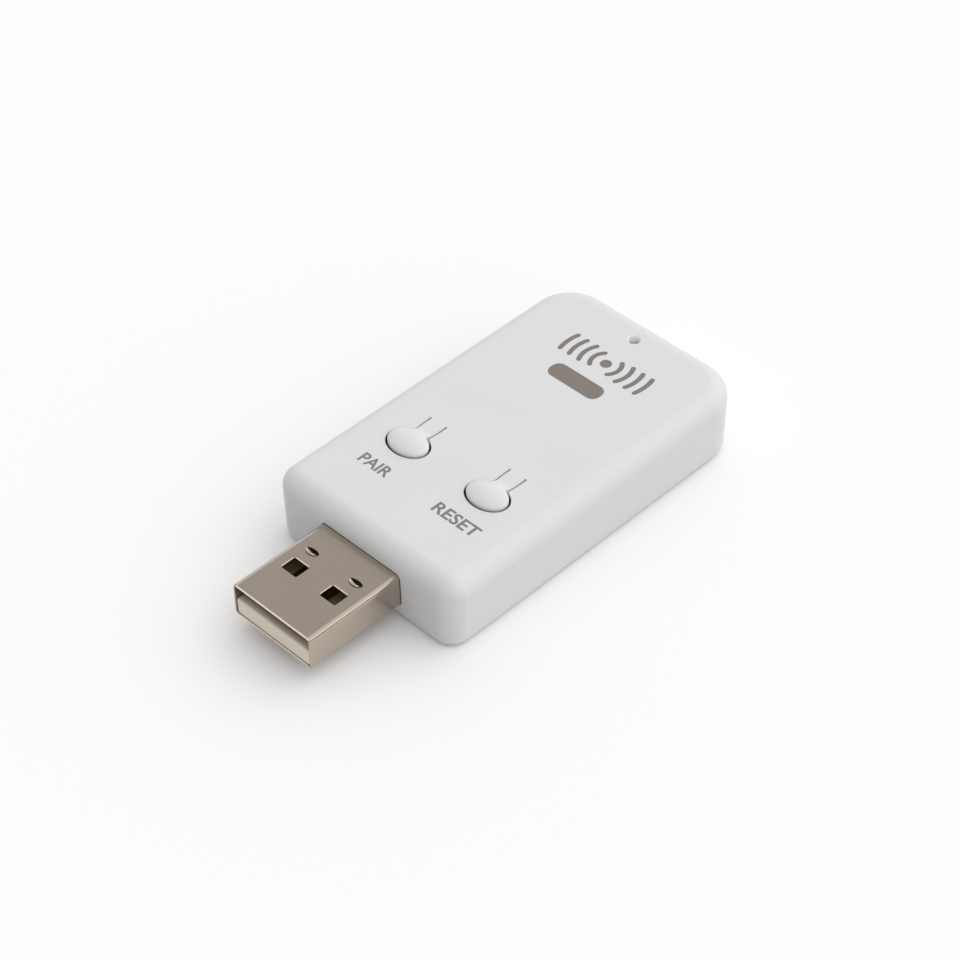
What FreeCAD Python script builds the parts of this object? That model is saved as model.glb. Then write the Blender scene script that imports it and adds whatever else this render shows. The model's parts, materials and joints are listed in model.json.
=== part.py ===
# Bluetooth gateway stick for a USB-A port: a white moulded casing with two flexing push buttons,
# a status light hole and a plug, and the board with its parts inside.
# Millimetres. X is the width, the plug points to -Y, Z is up.
# The origin is in the middle of the whole length, on the surface that the casing lies on.
import FreeCAD, Part
import math
import os

Vector = FreeCAD.Vector

# Casing
casing_width = 27.6
casing_length = 47.2
casing_height = 9.3
front_corner = 2.5        # plan radius of the two corners beside the plug
back_corner = 5.2         # plan radius of the two far corners
top_rounding = 2.3
bottom_rounding = 1.0
draft = 0.016             # outside, the walls lean in by this much for each millimetre down
wall = 1.3                # at the foot
roof = 1.3
inner_bevel = 0.8

# Bottom cover
lid_thickness = 1.2
lid_gap = 0.06
lip_height = 0.7
lip_wall = 0.8
lip_gap = 0.12
hook_length = 4.0
hook_thickness = 0.9
hook_places = (20.5, 33.0)      # from the casing's front face
hook_gap = 0.2                  # each end of a hook from the end of its catch
barb_height = 0.3
barb_taper = 0.7
barb_lead = 0.2
catch_reach = 0.5
catch_gap = 0.12
catch_drop = 0.3                # catch ledge over the board's top face
catch_height = 0.5
catch_ramp = 0.8

# Plug, to the standard's sizes
plug_width = 12.0
plug_height = 4.5
plug_reach = 12.9               # from the casing's front face to the tip
plug_inside = 5.6
plug_lift = 2.05                # its underside over the table
plug_corner = 0.6
plug_opening_gap = 0.1
sheet = 0.25
rim_outside = 0.12              # bevels of the shell's edge at the tip
rim_inside = 0.06
tongue_height = 2.1
tongue_recess = 0.1
tongue_corner = 0.15
tongue_rounding = 0.25
tongue_gap = 0.05
insulator_front = 1.1           # the block behind the tongue, past the dimples
window_width = 2.3
window_length = 1.95
window_corner = 0.15
window_bevel = 0.08
window_from_tip = 6.27
window_spread = 2.99            # centre of each window from the middle
dimple_from_tip = 9.15          # the cut that frees its deep end
dimple_spread = 3.38
dimple_half_width = 0.92
dimple_run = 0.7                # from its fold to the cut
dimple_depth = 0.32
dimple_slot = 0.35              # from the cut to the far edge of its opening
seam = 0.08
tab_reach = 1.6                 # board tabs beyond the shell's sides
tab_width = 1.8
tab_from_end = 0.8
tab_below = 0.3
tab_slot_gap = 0.15
contact_width = 1.0
contact_sheet = 0.2
contact_places = (-3.5, -1.0, 1.0, 3.5)
contact_from_tip = 1.5
contact_proud = 0.08
contact_bend = 0.3
contact_nose = 0.9              # its front end dips into the tongue over this length
contact_foot = 1.4

# Ribs that clamp the plug
rib_thickness = 0.8
rib_margin = 1.0                # each rib's ends in from the plug's sides
rib_step = 0.6                  # the front rib behind the front wall
rib_from_end = 0.4              # the rear rib from the plug's rear end

# Board
board_thickness = 1.0
board_over_plug = 1.45          # its top face over the plug's underside
board_gap = 0.35
post_radius = 1.1
pin_radius = 0.6
pin_gap = 0.08
pin_rise = 0.5
hold_gap = 0.05
tube_wall = 0.55
front_post = (2.26, 9.0)        # from the casing's inner side, from its front face
back_post = (2.86, 6.6)         # from the inner side, from the casing's back face
board_corner = 0.6
notch_gap = 0.2
bay_gap = 0.3

# Buttons
button_spread = 6.1             # centre of each button from the middle
button_place = 13.0             # from the casing's front face
button_radius = 2.2
button_gap = 0.28
crown_height = 0.8
rim_height = 0.1
cap_bevel = 0.35                # between the cap's crown and its side
skirt_slope = 38                # degrees; so the crown runs out into the arm
opening_bevel = 0.06
arm_root = 18.0                 # where the arm joins the cover, from the casing's front face
arm_width = 2.14
arm_thickness = 0.8
slit = 0.24
stem_radius = 0.9
stem_tip = 0.45                 # radius of its flat end
stem_taper = 0.4
stem_gap = 0.05

# Push switches
switch_width = 4.5
switch_height = 1.5
switch_plate = 0.2
plunger_radius = 1.0
plunger_rise = 0.8
plunger_gap = 0.1
flange_radius = 1.35
flange_height = 0.3
dome_radius = 1.5
dome_top = 0.7                  # radius of its flat middle
dome_rise = 0.4
dome_sheet = 0.06
dome_gap = 0.02
dome_side_gap = 0.1
switch_floor = 0.4
switch_bevel = 0.4
terminal_width = 0.7
terminal_sheet = 0.15
terminal_rise = 0.5
terminal_step = 0.35
terminal_reach = 0.9
terminal_shift = 1.2

# Status light
light_from_back = 3.7           # from the casing's back face
light_hole = 1.45
light_bevel = 0.1
light_recess = 0.9
light_gap = 0.04
light_flange = 1.5
light_flange_height = 0.6
light_ring_wall = 0.7
lamp_size = (1.6, 0.8, 0.6)
lamp_gap = 0.3

# Radio parts; sizes run along X, Y and Z
antenna_side = 2.6              # its feed from the middle
antenna_from_back = 4.0
antenna_run = 6.0
antenna_feed = 1.5
antenna_step = 1.1
antenna_turns = 5
trace_width = 0.5
trace_sheet = 0.05
antenna_gap = 2.2               # bare board between the antenna and the shield
shield_width = 12.0
shield_height = 1.8
shield_sheet = 0.2
shield_rounding = 0.5
shield_bevel = 0.2
shield_start = 22.5             # from the casing's front face
chip_size = (5.0, 5.0, 0.85)
chip_shift = 1.5
chip_bevel = 0.12
crystal_base = (3.2, 2.5, 0.45)
crystal_cap = (2.9, 2.2, 0.3)
crystal_bevel = 0.12
crystal_place = (2.8, -1.5)     # from the shield's middle

# Power parts
guard_size = (1.5, 2.0, 0.8)
guard_place = 11.2              # from the casing's front face, as the next two
inductor_place = 16.0
inductor_width = 4.0
inductor_height = 2.0
inductor_corner = 0.8
inductor_flange = 0.5
inductor_waist = 1.75
regulator_place = (-7.6, 20.7)
regulator_size = (1.6, 2.9, 1.0)
regulator_lift = 0.1
regulator_bevel = 0.15
leg_width = 0.4
leg_sheet = 0.15
leg_rise = 0.45
leg_step = 0.35
leg_reach = 0.8
leg_shift = 0.95

# Small ceramic parts
capacitor_size = (1.6, 0.8, 0.8)
resistor_size = (1.0, 0.5, 0.35)
cap_length = 0.22               # the plated ends
cap_proud = 0.03
power_capacitors = ((-3.6, 20.6), (3.6, 20.6), (7.6, 20.6))     # from the casing's front face
radio_side = 2.5                # row beside the shield
radio_capacitors = ((-1, -1.0), (-1, 1.4), (1, 1.4))            # side and shift from the shield's middle
radio_resistors = ((1, -3.0), (1, -1.2))
back_resistors = ((4.6, 10.2), (6.4, 10.2), (3.0, 3.7))         # from the casing's back face

# What follows from the sizes above
front = plug_reach - (casing_length + plug_reach) / 2
back = front + casing_length
tip = front - plug_reach
half_width = casing_width / 2
widest_z = casing_height - top_rounding
inner_inset = wall + draft * widest_z
inner_x = half_width - inner_inset
roof_under = casing_height - roof
plug_top = plug_lift + plug_height
plug_end = front + plug_inside
board_top = plug_lift + board_over_plug
board_under = board_top - board_thickness
catch_z = board_top + catch_drop
tongue_top = plug_lift + sheet + tongue_height
contact_z = tongue_top + contact_proud - contact_sheet / 2
opening_radius = button_radius + button_gap
arm_under = casing_height - arm_thickness
plate_top = board_top + switch_height + switch_plate
plunger_top = plate_top + plunger_rise
dome_foot = board_top + switch_floor
plunger_under = dome_foot + dome_rise + dome_gap
light_y = back - light_from_back
antenna_y = back - antenna_from_back - antenna_run - antenna_feed
shield_length = antenna_y - antenna_gap - (front + shield_start)
shield_y = front + shield_start + shield_length / 2


def plan(z):
    return lambda u, w: Vector(u, w, z)


def cross_section(y):
    return lambda u, w: Vector(u, y, w)


def side_view(x):
    return lambda u, w: Vector(x, u, w)


def box(x0, x1, y0, y1, z0, z1):
    return Part.makeBox(x1 - x0, y1 - y0, z1 - z0, Vector(x0, y0, z0))


def block(x, y, z, size):
    """A box with its middle over (x, y) and its foot at z."""
    return box(x - size[0] / 2, x + size[0] / 2, y - size[1] / 2, y + size[1] / 2, z, z + size[2])


def cylinder(x, y, z0, z1, radius):
    return Part.makeCylinder(radius, z1 - z0, Vector(x, y, z0))


def rounded_rectangle(u0, u1, w0, w1, radii, place):
    """Closed wire; radii are those of the corners u0 w0, u1 w0, u1 w1 and u0 w1."""
    corners = ((u0, w0, 1, 1), (u1, w0, -1, 1), (u1, w1, -1, -1), (u0, w1, 1, -1))
    arcs = []
    for turn, ((u, w, du, dw), radius) in enumerate(zip(corners, radii)):
        angles = [math.radians(180 + 90 * turn + step) for step in (0, 45, 90)]
        points = [place(u + du * radius + radius * math.cos(a), w + dw * radius + radius * math.sin(a))
                  for a in angles]
        arcs.append(points)
    edges = []
    for number, points in enumerate(arcs):
        edges.append(Part.Arc(*points).toShape())
        following = arcs[(number + 1) % 4][0]
        edges.append(Part.LineSegment(points[2], following).toShape())
    return Part.Wire(edges)


def polygon(points, place, push):
    """A straight-sided outline pushed into a solid."""
    corners = [place(*point) for point in points]
    return Part.Face(Part.makePolygon(corners + corners[:1])).extrude(push)


def ribbon(points, thickness, place, push, bend=0):
    """A strip of sheet bent along a path and pushed to its width. Its corners are mitred, or have one
    bend radius at the middle of the sheet."""
    path = [Vector(u, w, 0) for u, w in points]
    ways = [(b - a).normalize() for a, b in zip(path, path[1:])]
    normals = [Vector(-way.y, way.x, 0) for way in ways]
    ends = []
    edges = []
    for half in (thickness / 2, -thickness / 2):
        at = path[0] + normals[0] * half
        ends.append(at)
        for number, point in enumerate(path[1:-1]):
            way_in, way_out = ways[number:number + 2]
            normal_in, normal_out = normals[number:number + 2]
            if not bend:
                corner = point + (normal_in + normal_out) * (half / (1 + normal_in.dot(normal_out)))
                edges.append(Part.LineSegment(place(at.x, at.y), place(corner.x, corner.y)).toShape())
                at = corner
                continue
            side = 1 if way_in.cross(way_out).z > 0 else -1
            trim = bend * math.tan(way_in.getAngle(way_out) / 2)
            centre = point - way_in * trim + normal_in * (side * bend)
            middle = centre - (normal_in + normal_out).normalize() * (side * (bend - side * half))
            start = point - way_in * trim + normal_in * half
            end = point + way_out * trim + normal_out * half
            edges.append(Part.LineSegment(place(at.x, at.y), place(start.x, start.y)).toShape())
            arc = Part.Arc(place(start.x, start.y), place(middle.x, middle.y), place(end.x, end.y))
            edges.append(arc.toShape())
            at = end
        last = path[-1] + normals[-1] * half
        edges.append(Part.LineSegment(place(at.x, at.y), place(last.x, last.y)).toShape())
        ends.append(last)
    for a, b in ((ends[0], ends[2]), (ends[1], ends[3])):
        edges.append(Part.LineSegment(place(a.x, a.y), place(b.x, b.y)).toShape())
    return Part.Face(Part.Wire(Part.__sortEdges__(edges))).extrude(push)


def half_ellipse_face(middle_u, middle_w, half_u, half_w, place):
    """The half of an ellipse on the far side of its middle line."""
    centre = place(middle_u, middle_w)
    side = place(middle_u + half_u, middle_w)
    far = place(middle_u, middle_w + half_w)
    if half_u > half_w:
        outline, start = Part.Ellipse(side, far, centre), 0
    else:
        outline, start = Part.Ellipse(far, side, centre), -math.pi / 2
    arc = Part.ArcOfEllipse(outline, start, start + math.pi).toShape()
    ends = arc.Vertexes
    return Part.Face(Part.Wire([arc, Part.LineSegment(ends[1].Point, ends[0].Point).toShape()]))


def edges_at(shape, z):
    """The edges that lie flat at a height."""
    found = []
    for edge in shape.Edges:
        limits = edge.BoundBox
        if abs(limits.ZMin - z) < 1e-4 and abs(limits.ZMax - z) < 1e-4:
            found.append(edge)
    return found


def outline(inset, z):
    """The casing's widest outline moved in by an inset, at a height."""
    front_radius = max(front_corner - inset, 0.3)
    back_radius = max(back_corner - inset, 0.3)
    radii = (front_radius, front_radius, back_radius, back_radius)
    return rounded_rectangle(-half_width + inset, half_width - inset, front + inset, back - inset,
                             radii, plan(z))


def inside_block(gap, z0, z1):
    """A block with the upright walls of the casing's inside, moved in by a gap."""
    return Part.Face(outline(inner_inset + gap, z0)).extrude(Vector(0, 0, z1 - z0))


def post_places():
    """What the board lies on: x, y and whether it is a post with a pin through the board, or a rib."""
    front_x, back_x = inner_x - front_post[0], inner_x - back_post[0]
    front_y, back_y = front + front_post[1], back - back_post[1]
    return [(-front_x, front_y, False), (front_x, front_y, True),
            (-back_x, back_y, True), (back_x, back_y, False)]


def support_rib(x, y, z0, z1):
    """A rib across the casing, as wide as a post."""
    return block(x, y, z0, (2 * post_radius, rib_thickness, z1 - z0))


def casing_outside():
    ends = [outline(draft * (widest_z - z), z) for z in (0, casing_height)]
    outside = Part.makeLoft(ends, True, True)
    outside = outside.makeFillet(top_rounding, edges_at(outside, casing_height))
    return outside.makeFillet(bottom_rounding, edges_at(outside, 0))


def button_opening(x):
    """The keyhole that frees a button: a round hole and the slot of its arm."""
    y = front + button_place
    slot = arm_width / 2 + slit
    hole = cylinder(x, y, roof_under - 1, casing_height + 1, opening_radius)
    return hole.fuse(box(x - slot, x + slot, y, front + arm_root, roof_under - 1, casing_height + 1))


def plug_section(grow, y0, y1):
    """The plug's outer section grown all round, from y0 to y1."""
    radius = plug_corner + grow
    wire = rounded_rectangle(-plug_width / 2 - grow, plug_width / 2 + grow, plug_lift - grow,
                             plug_top + grow, (radius,) * 4, cross_section(y0))
    return Part.Face(wire).extrude(Vector(0, y1 - y0, 0))


def hook_profile(side):
    """A snap hook's beam and barb, seen along the casing."""
    outer = inner_x - catch_reach - catch_gap
    inner = outer - hook_thickness
    barb = inner_x - catch_gap
    foot = catch_z + catch_gap
    shoulder = foot + barb_height
    points = ((inner, lid_thickness / 2), (outer, lid_thickness / 2), (outer, foot), (barb, foot),
              (barb, shoulder), (outer - barb_lead, shoulder + barb_taper), (inner, shoulder + barb_taper))
    return [(side * x, z) for x, z in points]


def catch_profile(side):
    """The ledge on the cover's wall that a hook snaps over."""
    low = catch_z - catch_height
    points = ((inner_x + wall / 2, low - catch_ramp), (inner_x, low - catch_ramp),
              (inner_x - catch_reach, low), (inner_x - catch_reach, catch_z), (inner_x + wall / 2, catch_z))
    return [(side * x, z) for x, z in points]


def hook_starts():
    return [front + place - hook_length / 2 for place in hook_places]


def rib_starts(first):
    return (front + wall + first, plug_end - rib_from_end - rib_thickness)


def opening_rims(cover):
    """The top edges of the two keyholes, without the ends where the arms join."""
    near, far = front + button_place - opening_radius, front + arm_root
    rims = []
    for edge in edges_at(cover, casing_height):
        limits = edge.BoundBox
        if limits.YMin > near - 0.01 and limits.YMax < far + 0.01 and limits.YLength > 0.01:
            rims.append(edge)
    return rims


def make_top_cover():
    cavity = inside_block(0, -1, roof_under)
    cavity = cavity.makeChamfer(inner_bevel, edges_at(cavity, roof_under))
    cover = casing_outside().cut(cavity)
    added = []
    for start in hook_starts():
        for side in (-1, 1):
            added.append(polygon(catch_profile(side), cross_section(start), Vector(0, hook_length, 0)))
    for x, y, pinned in post_places():
        if pinned:
            radius = pin_radius + pin_gap
            tube = cylinder(x, y, board_top + hold_gap, roof_under + roof / 2, radius + tube_wall)
            added.append(tube.cut(cylinder(x, y, board_top, roof_under - 1, radius)))
        else:
            added.append(support_rib(x, y, board_top + hold_gap, roof_under + roof / 2))
    rib_edge = plug_width / 2 - rib_margin
    for start in rib_starts(rib_step):
        added.append(box(-rib_edge, rib_edge, start, start + rib_thickness, plug_top + hold_gap,
                         roof_under + roof / 2))
    ring_radius = light_flange + light_gap + light_ring_wall
    added.append(cylinder(0, light_y, roof_under - light_flange_height, roof_under + roof / 2, ring_radius))
    cover = cover.fuse(added)
    cover = cover.cut(cylinder(0, light_y, board_top, roof_under, light_flange + light_gap))
    cover = cover.cut(plug_section(plug_opening_gap, front - 1, front + wall + rib_step / 2))
    for side in (-1, 1):
        cover = cover.cut(button_opening(side * button_spread))
    cover = cover.makeChamfer(opening_bevel, opening_rims(cover))
    cover = cover.cut(cylinder(0, light_y, roof_under - 1, casing_height + 1, light_hole / 2))
    rim = [edge for edge in edges_at(cover, casing_height) if edge.BoundBox.XLength < light_hole + 0.01
           and edge.BoundBox.YMin > light_y - light_hole]
    return cover.makeChamfer(light_bevel, rim)


def make_bottom_cover():
    lid = casing_outside().common(inside_block(lid_gap, 0, lid_thickness))
    lip_top = lid_thickness + lip_height
    lip = inside_block(lip_gap, lid_thickness / 2, lip_top)
    lip = lip.cut(inside_block(lip_gap + lip_wall, 0, lip_top + 1))
    added = [lip]
    for start in hook_starts():
        for side in (-1, 1):
            added.append(polygon(hook_profile(side), cross_section(start + hook_gap),
                                 Vector(0, hook_length - 2 * hook_gap, 0)))
    for x, y, pinned in post_places():
        if pinned:
            added.append(cylinder(x, y, lid_thickness / 2, board_under, post_radius))
            added.append(cylinder(x, y, lid_thickness / 2, board_top + pin_rise, pin_radius))
        else:
            added.append(support_rib(x, y, lid_thickness / 2, board_under))
    rib_edge = plug_width / 2 - rib_margin
    for start in rib_starts(2 * rib_step):
        added.append(box(-rib_edge, rib_edge, start, start + rib_thickness, lid_thickness / 2, plug_lift))
    return lid.fuse(added)


def cap_solid(foot, skirted):
    """The cap as a turned solid: a ball's crown over a bevelled edge. A skirted one leaves the crown at
    the skirt's slope and runs out level with the cover on a hollow arc."""
    crown = casing_height + crown_height
    edge_r = button_radius - cap_bevel
    drop = crown_height - rim_height - cap_bevel
    ball = (edge_r ** 2 + drop ** 2) / (2 * drop)
    lean = math.asin(edge_r / ball)
    steepest = math.radians(skirt_slope)
    place = cross_section(0)
    top, last = place(0, crown), place(edge_r, crown - drop)
    halfway = place(ball * math.sin(lean / 2), crown - ball + ball * math.cos(lean / 2))
    edges = [Part.Arc(top, halfway, last).toShape()]
    if skirted:
        bend = (last.z - casing_height) / (1 - math.cos(steepest))
        end_r = edge_r + bend * math.sin(steepest)
        halfway = place(end_r - bend * math.sin(steepest / 2),
                        casing_height + bend * (1 - math.cos(steepest / 2)))
        end = place(end_r, casing_height)
        edges.append(Part.Arc(last, halfway, end).toShape())
    else:
        end = place(button_radius, casing_height + rim_height)
        edges.append(Part.LineSegment(last, end).toShape())
    corners = [end, place(end.x, foot), place(0, foot), top]
    for corner, following in zip(corners, corners[1:]):
        edges.append(Part.LineSegment(corner, following).toShape())
    return Part.Face(Part.Wire(edges)).revolve(Vector(0, 0, 0), Vector(0, 0, 1), 360)


def make_button(side):
    """Domed cap that runs out into its flexing arm, and the stem under it, in one piece."""
    x = side * button_spread
    y = front + button_place
    half = arm_width / 2
    reach = arm_root - button_place
    strip = box(-half, half, half, reach, arm_under, casing_height + crown_height + 1)
    pad = cap_solid(roof_under, False).cut(strip)
    skirt = cap_solid(arm_under, True).common(strip)
    arm = box(-half, half, half, reach, arm_under, casing_height)
    button = pad.fuse([skirt, arm])
    button.translate(Vector(x, y, 0))
    stem_foot = plunger_top + stem_gap
    stem = cylinder(x, y, stem_foot + stem_taper, roof_under + roof / 2, stem_radius)
    taper = Part.makeCone(stem_tip, stem_radius, stem_taper, Vector(x, y, stem_foot))
    return button.fuse([stem, taper]).removeSplitter()


def make_light_pipe():
    radius = light_hole / 2 - light_gap
    foot = board_top + lamp_size[2] + lamp_gap
    rod = cylinder(0, light_y, foot, casing_height - light_recess, radius)
    flange = cylinder(0, light_y, roof_under - light_flange_height, roof_under, light_flange)
    return rod.fuse(flange)


def bowl(x, y, half_width, depth, run, grow):
    """An ellipsoid about an axis along X whose cap under the plug's top is the dimple, grown by a skin."""
    swing = (run ** 2 + depth ** 2) / (2 * depth)
    middle = plug_top + swing - depth
    long_half = half_width * swing / run
    face = half_ellipse_face(x, middle, long_half + grow, swing + grow, cross_section(y))
    return face.revolve(Vector(x, y, middle), Vector(1, 0, 0), 360)


def with_dimple(shell, x):
    """A lanced dimple: the sheet sinks from a fold to a cut, and an opening is left beyond the cut."""
    y = tip + dimple_from_tip
    inner = plug_top - sheet
    tool = bowl(x, y, dimple_half_width, dimple_depth, dimple_run, 0)
    skin = bowl(x, y, dimple_half_width, dimple_depth, dimple_run, sheet)
    spread = 2 * dimple_half_width
    deep = plug_top - dimple_depth - 2 * sheet
    behind = box(x - spread, x + spread, y - 2 * dimple_run, y, deep, plug_top + 1)
    under = box(x - spread, x + spread, y - 2 * dimple_run, y, deep, inner + sheet / 2)
    slot = half_ellipse_face(x, y, dimple_half_width, dimple_slot, plan(deep))
    slot = slot.extrude(Vector(0, 0, plug_top + 1 - deep))
    return shell.fuse(skin.common(under)).cut(tool.common(behind)).cut(slot)


def make_usb_shell():
    """Folded sheet: a flat tube with a seam underneath, windows, dimples and board tabs."""
    inner_radius = plug_corner - sheet
    hollow_wire = rounded_rectangle(-plug_width / 2 + sheet, plug_width / 2 - sheet, plug_lift + sheet,
                                    plug_top - sheet, (inner_radius,) * 4, cross_section(tip - 1))
    length = plug_end - tip
    hollow = Part.Face(hollow_wire).extrude(Vector(0, length + 2, 0))
    shell = plug_section(0, tip, plug_end).cut(hollow)
    outside, inside = [], []
    for edge in shell.Edges:
        limits = edge.BoundBox
        if limits.YMax < tip + 0.01:
            at_inside = (max(abs(limits.XMin), abs(limits.XMax)) < plug_width / 2 - sheet / 2
                         and limits.ZMin > plug_lift + sheet / 2 and limits.ZMax < plug_top - sheet / 2)
            (inside if at_inside else outside).append(edge)
    shell = shell.makeChamfer(rim_outside, outside)
    inside = [edge for edge in shell.Edges if any(edge.isSame(other) for other in inside)]
    shell = shell.makeChamfer(rim_inside, inside)
    for side in (-1, 1):
        reach = side * (plug_width / 2 + tab_reach)
        start = plug_end - tab_from_end - tab_width
        path = [(side * (plug_width / 2 - sheet / 2), board_top + sheet / 2),
                (reach, board_top + sheet / 2), (reach, board_under - tab_below)]
        shell = shell.fuse(ribbon(path, sheet, cross_section(start), Vector(0, tab_width, 0), sheet))
    for side in (-1, 1):
        x = side * window_spread
        y = tip + window_from_tip
        wire = rounded_rectangle(x - window_width / 2, x + window_width / 2, y - window_length / 2,
                                 y + window_length / 2, (window_corner,) * 4, plan(plug_lift - 1))
        shell = shell.cut(Part.Face(wire).extrude(Vector(0, 0, plug_height + 2)))
    rims = [edge for edge in edges_at(shell, plug_top)
            if abs(edge.BoundBox.Center.y - tip - window_from_tip) < window_length
            and abs(edge.BoundBox.Center.x) < window_spread + window_width / 2 + 0.01]
    shell = shell.makeChamfer(window_bevel, rims)
    for side in (-1, 1):
        shell = with_dimple(shell, side * dimple_spread)
    return shell.cut(box(-seam / 2, seam / 2, tip - 1, plug_end + 1, plug_lift - 1, plug_lift + 2 * sheet))


def contact_path():
    """A contact's middle line from its tucked front end to its foot on the board."""
    start = tip + contact_from_tip
    foot = board_top + contact_sheet / 2
    return [(start, contact_z - contact_bend), (start + contact_nose, contact_z),
            (plug_end + contact_nose, contact_z), (plug_end + contact_nose + 2 * contact_bend, foot),
            (plug_end + contact_nose + 2 * contact_bend + contact_foot, foot)]


def make_usb_contact(x):
    return ribbon(contact_path(), contact_sheet, side_view(x - contact_width / 2),
                  Vector(contact_width, 0, 0), contact_bend)


def make_usb_insulator():
    """Tongue in the plug's lower half and the block at its root, with a groove for each contact."""
    edge = plug_width / 2 - sheet - tongue_gap
    floor = plug_lift + sheet
    radius = plug_corner - sheet + tongue_gap
    radii = (radius, radius, tongue_corner, tongue_corner)
    tongue_wire = rounded_rectangle(-edge, edge, floor, tongue_top, radii,
                                    cross_section(tip + tongue_recess))
    tongue = Part.Face(tongue_wire).extrude(Vector(0, plug_end - tip - tongue_recess, 0))
    front_edge = [line for line in edges_at(tongue, tongue_top) if line.BoundBox.YLength < 0.01]
    tongue = tongue.makeFillet(tongue_rounding, front_edge)
    block_top = plug_top - sheet - tongue_gap
    block_front = tip + dimple_from_tip + dimple_slot + insulator_front
    block_wire = rounded_rectangle(-edge, edge, floor, block_top, (radius,) * 4,
                                   cross_section(block_front))
    insulator = tongue.fuse(Part.Face(block_wire).extrude(Vector(0, plug_end - block_front, 0)))
    groove = contact_width / 2 + tongue_gap
    low = contact_z - contact_sheet / 2
    start = tip + contact_from_tip - contact_sheet
    pocket_end = start + contact_nose + 2 * contact_sheet
    for x in contact_places:
        insulator = insulator.cut(box(x - groove, x + groove, start, plug_end + 1, low,
                                      low + contact_sheet * 1.1))
        insulator = insulator.cut(box(x - groove, x + groove, start, pocket_end,
                                      low - contact_bend - contact_sheet / 2, low + contact_sheet / 2))
    return insulator


def make_circuit_board():
    """The board: a notch that the plug sinks into, bays for the hooks, pin holes and tab slots."""
    inset = inner_inset + board_gap
    edge, start, end = half_width - inset, front + inset, back - inset
    back_radius = back_corner - inset
    wire = rounded_rectangle(-edge, edge, start, end, (board_corner, board_corner, back_radius, back_radius),
                             plan(board_under))
    board = Part.Face(wire).extrude(Vector(0, 0, board_thickness))
    below, above = board_under - 1, board_top + 1
    notch = plug_width / 2 + notch_gap
    board = board.cut(box(-notch, notch, start - 1, plug_end + notch_gap, below, above))
    bay = inner_x - catch_reach - catch_gap - hook_thickness - bay_gap
    for hook_start in hook_starts():
        for x0, x1 in ((-edge - 1, -bay), (bay, edge + 1)):
            board = board.cut(box(x0, x1, hook_start - bay_gap, hook_start + hook_length + bay_gap, below,
                                  above))
    for x, y, pinned in post_places():
        if pinned:
            board = board.cut(cylinder(x, y, below, above, pin_radius + pin_gap))
    tab_half = sheet / 2 + tab_slot_gap
    tab_end = plug_end - tab_from_end
    for side in (-1, 1):
        x = side * (plug_width / 2 + tab_reach)
        board = board.cut(box(x - tab_half, x + tab_half, tab_end - tab_width - tab_slot_gap,
                              tab_end + tab_slot_gap, below, above))
    return board


def make_switch_base(x, y):
    base = block(x, y, board_top, (switch_width, switch_width, switch_height))
    upright = [edge for edge in base.Edges if edge.BoundBox.ZLength > switch_height / 2]
    base = base.makeChamfer(switch_bevel, upright)
    return base.cut(cylinder(x, y, dome_foot, board_top + switch_height + 1, dome_radius + dome_side_gap))


def make_switch_plate(x, y):
    plate = block(x, y, board_top + switch_height, (switch_width, switch_width, switch_plate))
    upright = [edge for edge in plate.Edges if edge.BoundBox.ZLength > switch_plate / 2]
    plate = plate.makeChamfer(switch_bevel, upright)
    return plate.cut(cylinder(x, y, board_top, plate_top + 1, plunger_radius + plunger_gap))


def make_switch_dome(x, y):
    """A thin sprung cap with sloping sides, whose rim stands on the base's floor."""
    outside = Part.makeCone(dome_radius, dome_top, dome_rise, Vector(x, y, dome_foot))
    return outside.cut(Part.makeCone(dome_radius, dome_top, dome_rise, Vector(x, y, dome_foot - dome_sheet)))


def make_switch_plunger(x, y):
    stem = cylinder(x, y, plunger_under, plunger_top, plunger_radius)
    return stem.fuse(cylinder(x, y, plunger_under, plunger_under + flange_height, flange_radius))


def make_switch_terminals(x, y):
    """Four gull-wing legs from the base's sides to the board."""
    legs = []
    foot = board_top + terminal_sheet / 2
    edge = switch_width / 2
    for side in (-1, 1):
        path = [(x + side * edge, foot + terminal_rise),
                (x + side * (edge + terminal_step), foot + terminal_rise),
                (x + side * (edge + terminal_step), foot), (x + side * (edge + terminal_reach), foot)]
        for shift in (-terminal_shift, terminal_shift):
            start = y + shift - terminal_width / 2
            legs.append(ribbon(path, terminal_sheet, cross_section(start), Vector(0, terminal_width, 0)))
    return Part.makeCompound(legs)


def make_chip(x, y, size):
    """A moulded package with bevelled upper edges."""
    body = block(x, y, board_top, size)
    return body.makeChamfer(chip_bevel, edges_at(body, board_top + size[2]))


def make_shield_can():
    """A pressed sheet lid over the radio chip, open underneath."""
    size = (shield_width, shield_length, shield_height)
    outside = block(0, shield_y, board_top, size)
    upright = [edge for edge in outside.Edges if edge.BoundBox.ZLength > shield_height / 2]
    outside = outside.makeFillet(shield_rounding, upright)
    outside = outside.makeChamfer(shield_bevel, edges_at(outside, board_top + shield_height))
    inside = (shield_width - 2 * shield_sheet, shield_length - 2 * shield_sheet, shield_height - shield_sheet)
    return outside.cut(block(0, shield_y, board_top, inside))


def make_regulator():
    """A small package with three legs on one side and two on the other."""
    x, y = regulator_place[0], front + regulator_place[1]
    body = block(x, y, board_top + regulator_lift, regulator_size)
    body = body.makeChamfer(regulator_bevel, edges_at(body, board_top + regulator_lift + regulator_size[2]))
    foot = board_top + leg_sheet / 2
    edge = regulator_size[0] / 2
    for side, shifts in ((-1, (-leg_shift, 0, leg_shift)), (1, (-leg_shift, leg_shift))):
        knee = x + side * (edge + leg_step)
        path = [(x + side * (edge - leg_sheet), foot + leg_rise), (knee, foot + leg_rise), (knee, foot),
                (x + side * (edge + leg_reach), foot)]
        for shift in shifts:
            body = body.fuse(ribbon(path, leg_sheet, cross_section(y + shift - leg_width / 2),
                                    Vector(0, leg_width, 0)))
    return body


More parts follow.
